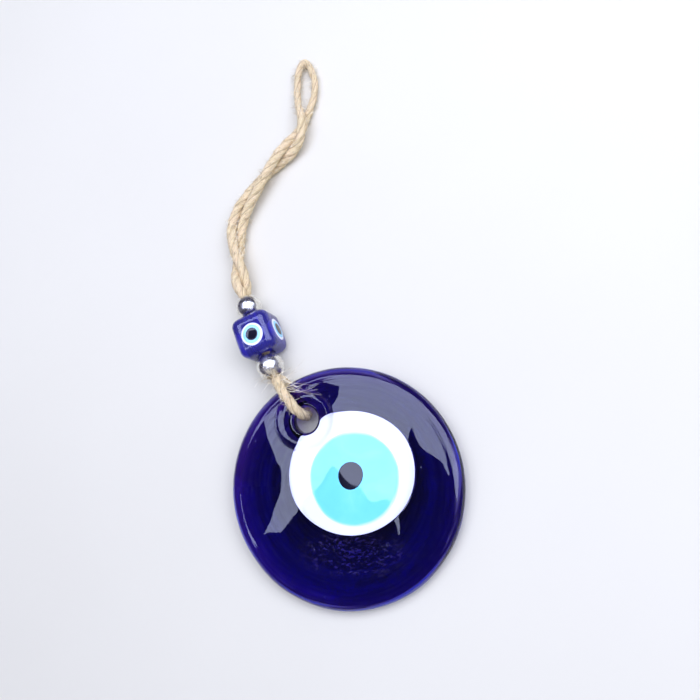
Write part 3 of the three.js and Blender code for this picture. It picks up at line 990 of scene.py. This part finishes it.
def eye_layer(name, centre, reach_at, proud, depth):
    """A pool of glass let into the front, following its dome and standing a hair above it."""
    deselect()
    first = 1 / EYE_RINGS
    bpy.ops.mesh.primitive_circle_add(vertices=EYE_SIDES, radius=first, fill_type="TRIFAN")
    piece = bpy.context.object
    piece.name = name
    edit(piece)
    bpy.ops.mesh.select_all(action="DESELECT")
    bpy.ops.object.mode_set(mode="OBJECT")
    for v in piece.data.vertices:
        v.select = v.co.length > first / 2
    bpy.ops.object.mode_set(mode="EDIT")
    for ring in range(2, EYE_RINGS + 1):
        bpy.ops.mesh.extrude_edges_move(TRANSFORM_OT_translate={"value": (0, 0, 0)})
        grow = ring / (ring - 1)
        bpy.ops.transform.resize(value=(grow, grow, 1), center_override=(0, 0, 0))
    for _ in EYE_SIDE_ROWS:
        bpy.ops.mesh.extrude_edges_move(TRANSFORM_OT_translate={"value": (0, 0, -1)})
    bpy.ops.mesh.edge_face_add()
    bpy.ops.object.mode_set(mode="OBJECT")
    for v in piece.data.vertices:
        share = math.hypot(v.co.x, v.co.y)
        angle = math.atan2(v.co.y, v.co.x)
        x = centre.x + math.cos(angle) * share * reach_at(angle)
        y = centre.y + math.sin(angle) * share * reach_at(angle)
        clear = HOLE_RADIUS + EYE_HOLE_GAP
        if hole_distance(x, y) < clear:
            away = (Vector((x, y)) - hole_spot).normalized()
            x, y = hole_spot.x + away.x * clear, hole_spot.y + away.y * clear
        height = front_height(x, y) + ripple(x, y, FRONT_SEED)
        row = round(-v.co.z)
        if row:
            height -= EYE_SIDE_ROWS[row - 1] * depth
        else:
            edge = max(0, (share - 1 + EYE_ROUNDING) / EYE_ROUNDING)
            height += proud * (1 - edge ** 2)
        v.co = (x, y, height)
    edit(piece)
    bpy.ops.mesh.normals_make_consistent(inside=False)
    done(smooth_under=50)
    return piece


def on_front(spot):
    return disc_place @ Vector((spot.x, spot.y, front_height(spot.x, spot.y)))


# Each glass has its own colour, a darker one and a lighter one.
WHITE = ((0.86, 0.87, 0.93), (0.8, 0.81, 0.9), (0.89, 0.9, 0.95))
PALE_BLUE = ((0.3, 0.68, 0.88), (0.22, 0.6, 0.85), (0.45, 0.8, 0.92))
IRIS_BLUE = ((0.19, 0.72, 0.95), (0.17, 0.68, 0.94), (0.24, 0.76, 0.95))
BLACK = ((0.006, 0.006, 0.014), (0.003, 0.003, 0.008), (0.014, 0.013, 0.025))
LAVENDER = (0.72, 0.72, 0.95)

white_fade = (on_front(WHITE_CENTRE), 19 * MM, 21 * MM, LAVENDER)
iris_fade = (on_front(IRIS_CENTRE), 14.2 * MM, 15.8 * MM, WHITE[0])
white_glass = opaque_glass("white glass", *WHITE)
edged_white_glass = opaque_glass("lavender edged white glass", *WHITE, white_fade)
pale_glass = opaque_glass("pale blue glass", *PALE_BLUE)
melting_glass = opaque_glass("pale blue glass melting into white", *IRIS_BLUE, iris_fade)
black_glass = opaque_glass("black glass", *BLACK)

# (name, centre, edge, how far it stands above the front in mm, its depth in mm, slot, glass)
EYE_LAYERS = (
    ("white", WHITE_CENTRE, white_edge, 0.05, 3.6, "white_glass", edged_white_glass),
    ("iris", IRIS_CENTRE, iris_edge, 0.08, 2.2, "pale_blue_glass", melting_glass),
    ("pupil", PUPIL_CENTRE, pupil_edge, 0.11, 1.1, "black_glass", black_glass),
)
for name, centre, reach_at, proud, depth, slot, material in EYE_LAYERS:
    layer = eye_layer("amulet_eye_" + name, centre, reach_at, proud * MM, depth * MM)
    settle(layer, disc_place, "disc", slot, material, "eye_" + name)

# ------------------------ silver beads

BALL_ARCS = 26
BALL_SIDES = 72
LIP_WIDTH = 0.3 * MM
LIP_CURVE = [(0.18, 0.02), (0.05, -0.06), (0, -0.22)]  # out from the bore and up from the ball's end, mm


def silver_bead(name, radius):
    """A ball with a bore, its mouths turned in with a rounded lip."""
    steep = math.acos((BEAD_BORE_RADIUS + LIP_WIDTH) / radius)
    profile = []
    for i in range(BALL_ARCS + 1):
        latitude = -steep + 2 * steep * i / BALL_ARCS
        profile.append((radius * math.cos(latitude), radius * math.sin(latitude)))
    top = profile[-1][1]
    profile += [(BEAD_BORE_RADIUS + r * MM, top + z * MM) for r, z in LIP_CURVE]
    profile += [(BEAD_BORE_RADIUS + r * MM, -top - z * MM) for r, z in reversed(LIP_CURVE)]
    profile.append(profile[0])
    piece = turned(name, profile, BALL_SIDES)
    done(smooth_under=45)
    return piece


silver = polished_silver()
BALLS = (("lower", LOWER_BEAD_RADIUS, lower_bead_place), ("upper", UPPER_BEAD_RADIUS, upper_bead_place))
for which, radius, place in BALLS:
    ball = silver_bead(which + "_silver_ball", radius)
    settle(ball, place, which + "_bead", "silver_bead", silver, which + "_silver_bead")

# ------------------------ cube bead

CUBE_CUTS = 27
CUBE_UNEVENNESS = 0.05 * MM
CUBE_MOUTH_RADIUS = BEAD_BORE_RADIUS + 0.9 * MM
CUBE_FLARE_DEPTH = 1.3 * MM


def cube_glass():
    """A hand-pressed cube with soft, slightly uneven edges and a flared bore."""
    deselect()
    bpy.ops.mesh.primitive_cube_add(size=1)
    piece = bpy.context.object
    piece.name = "cube_eye_bead"
    piece.scale = (CUBE_WIDTH, CUBE_LENGTH, CUBE_WIDTH)
    bpy.ops.object.transform_apply()
    edit(piece)
    bpy.ops.mesh.subdivide(number_cuts=CUBE_CUTS)
    done()
    half = Vector((CUBE_WIDTH, CUBE_LENGTH, CUBE_WIDTH)) / 2
    for v in piece.data.vertices:
        inner = Vector([max(-h + CUBE_ROUNDING, min(h - CUBE_ROUNDING, c)) for c, h in zip(v.co, half)])
        out = v.co - inner
        point = inner + out.normalized() * CUBE_ROUNDING
        crown = FACE_CROWN * sum((c / CUBE_ROUNDING) ** 2 for c in inner)
        uneven = noise.noise(point / MM * 0.16) * CUBE_UNEVENNESS
        v.co = point + out.normalized() * (uneven - crown)
    end = CUBE_LENGTH / 2
    upper_half = [
        (BEAD_BORE_RADIUS, end - CUBE_FLARE_DEPTH), (CUBE_MOUTH_RADIUS, end),
        (CUBE_MOUTH_RADIUS + MM, end + MM), (0, end + MM),
    ]
    lower_half = [(r, -z) for r, z in reversed(upper_half)]
    cutter = turned("cutter", lower_half + upper_half, 40)
    bpy.ops.transform.rotate(value=math.pi / 2, orient_axis="X", center_override=(0, 0, 0))
    done()
    cut = piece.modifiers.new("bore", "BOOLEAN")
    cut.object = cutter
    cut.operation = "DIFFERENCE"
    deselect()
    piece.select_set(True)
    bpy.context.view_layer.objects.active = piece
    bpy.ops.object.modifier_apply(modifier="bore")
    bpy.data.objects.remove(cutter)
    edit(piece)
    done(smooth_under=50)
    return piece


# (layer, radius, depth, how far it stands above the white layer's dome), in mm
CUBE_EYE = (("white", 4.1, 2.2, 0), ("iris", 3.4, 1.5, 0.03), ("pupil", 2.35, 0.8, 0.06))
CUBE_EYE_DOME = 0.3 * MM
CUBE_DOME_RADIUS = 4.2 * MM
CUBE_EYE_DROP = Vector((0, -0.7)) * MM  # the eyes sit a little nearer the lower bead
CUBE_SIDES = ("front", "right", "back", "left")
cube_cobalt = cobalt_glass("cube cobalt glass", cube_at, thirst=250.0, milk=0.22)
eye_glass = {
    "white": ("white_glass", white_glass),
    "iris": ("pale_blue_glass", pale_glass),
    "pupil": ("black_glass", black_glass),
}


def cube_eye_layer(name, radius, depth, proud):
    """A drop of glass pressed into a face: its share of a low dome, with a rounded edge."""
    profile = [(0, -depth), (radius, -depth), (radius, -0.15 * MM)]
    rounds = 14
    for i in range(rounds + 1):
        r = radius * math.cos(i / rounds * math.pi / 2)
        edge = min(1, (radius - r) / (0.3 * MM))
        dome = CUBE_EYE_DOME * (1 - (r / CUBE_DOME_RADIUS) ** 2)
        profile.append((r, dome + proud - 0.1 * MM * (1 - edge) ** 2))
    piece = turned(name, profile, 56)
    done(smooth_under=50)
    return piece


settle(cube_glass(), cube_place, "cube", "cobalt_glass", cube_cobalt, "cube_bead")
for quarter, side in enumerate(CUBE_SIDES):
    turn = Matrix.Rotation(quarter * math.pi / 2, 4, "Y")
    for layer, radius, depth, proud in CUBE_EYE:
        slot, material = eye_glass[layer]
        drop = cube_eye_layer(f"cube_eye_{layer}_{side}", radius * MM, depth * MM, proud * MM)
        face = Vector((CUBE_EYE_DROP.x, CUBE_EYE_DROP.y, CUBE_WIDTH / 2 - 0.1 * MM))
        place = cube_place @ turn @ Matrix.Translation(face)
        settle(drop, place, "cube", slot, material, f"cube_{layer}_{side}")

# ------------------------ table and light

TABLE_SIZE = 1.4


def table():
    deselect()
    bpy.ops.mesh.primitive_plane_add(size=TABLE_SIZE)
    floor = bpy.context.object
    floor.name = "table_top"
    material, tree = new_material("pale table")
    tone = noise_of(tree, place_of(tree), 6, detail=3)
    colour = ramp(tree, tone, (0.3, (0.71, 0.665, 0.51)), (0.7, (0.74, 0.695, 0.535)))
    surface(tree, base_color=colour, roughness=0.8)
    floor.data.materials.append(material)


def room():
    """Dim air all round: brighter as fill light, and pale where nothing stands behind the ornament."""
    world = bpy.data.worlds.new("room")
    world.use_nodes = True
    tree = world.node_tree
    path = tree.nodes.new("ShaderNodeLightPath").outputs
    mix = blend(tree, path["Is Diffuse Ray"], (0.07, 0.065, 0.12), (0.3, 0.31, 0.4))
    mix = blend(tree, path["Is Camera Ray"], mix, (0.85, 0.86, 0.88))
    tree.links.new(mix, tree.nodes["Background"].inputs["Color"])
    bpy.context.scene.world = world


# The big soft light over the table, in centimetres: a sheet with a slot cut in from the front and a
# drooping front left corner. A small dark card hangs under it, where the cube's face mirrors it.
PANEL_HEIGHT = 70
PANEL_CORNERS = [(15, -5), (60, -20), (110, 10), (80, 50), (35, 65), (-20, 45), (-55, 30)]
PANEL_LEFT = [(-46, 10), (-41, -2), (-43, -15), (-52, -27)]
PANEL_FRONT = [(-42, -23), (-29, -9), (-20, -1), (-14, -5), (-11, -11), (-1, -13), (0, -23), (5, 10)]
PANEL_GLOW = (3.9, 4.25, 6.0)
CARD_HEIGHT = 69
CARD_OUTLINE = [(-41, 8), (-41, 25), (-21, 25), (-21, 8)]
CARD_GLOW = (0.08, 0.08, 0.12)


def overhead(name, outline, height, glow):
    """A flat shape that hangs over the table, unseen itself, and gives off light where it glows."""
    points = [Vector((x, y, height)) / 100 for x, y in outline]
    sheet = mesh_piece(name, points, [tuple(range(len(points)))])
    material, tree = new_material(name)
    tree.nodes.remove(tree.nodes["Principled BSDF"])
    light = add(tree, "Emission", {"Color": (*glow, 1), "Strength": 1.0})
    tree.links.new(light.outputs[0], tree.nodes["Material Output"].inputs["Surface"])
    sheet.data.materials.append(material)
    sheet.visible_camera = False


table()
room()
curved = [smooth_line([Vector(p) for p in side], 6) for side in (PANEL_LEFT, PANEL_FRONT)]
overhead("light_panel", PANEL_CORNERS + curved[0] + curved[1], PANEL_HEIGHT, PANEL_GLOW)
overhead("dark_card", CARD_OUTLINE, CARD_HEIGHT, CARD_GLOW)
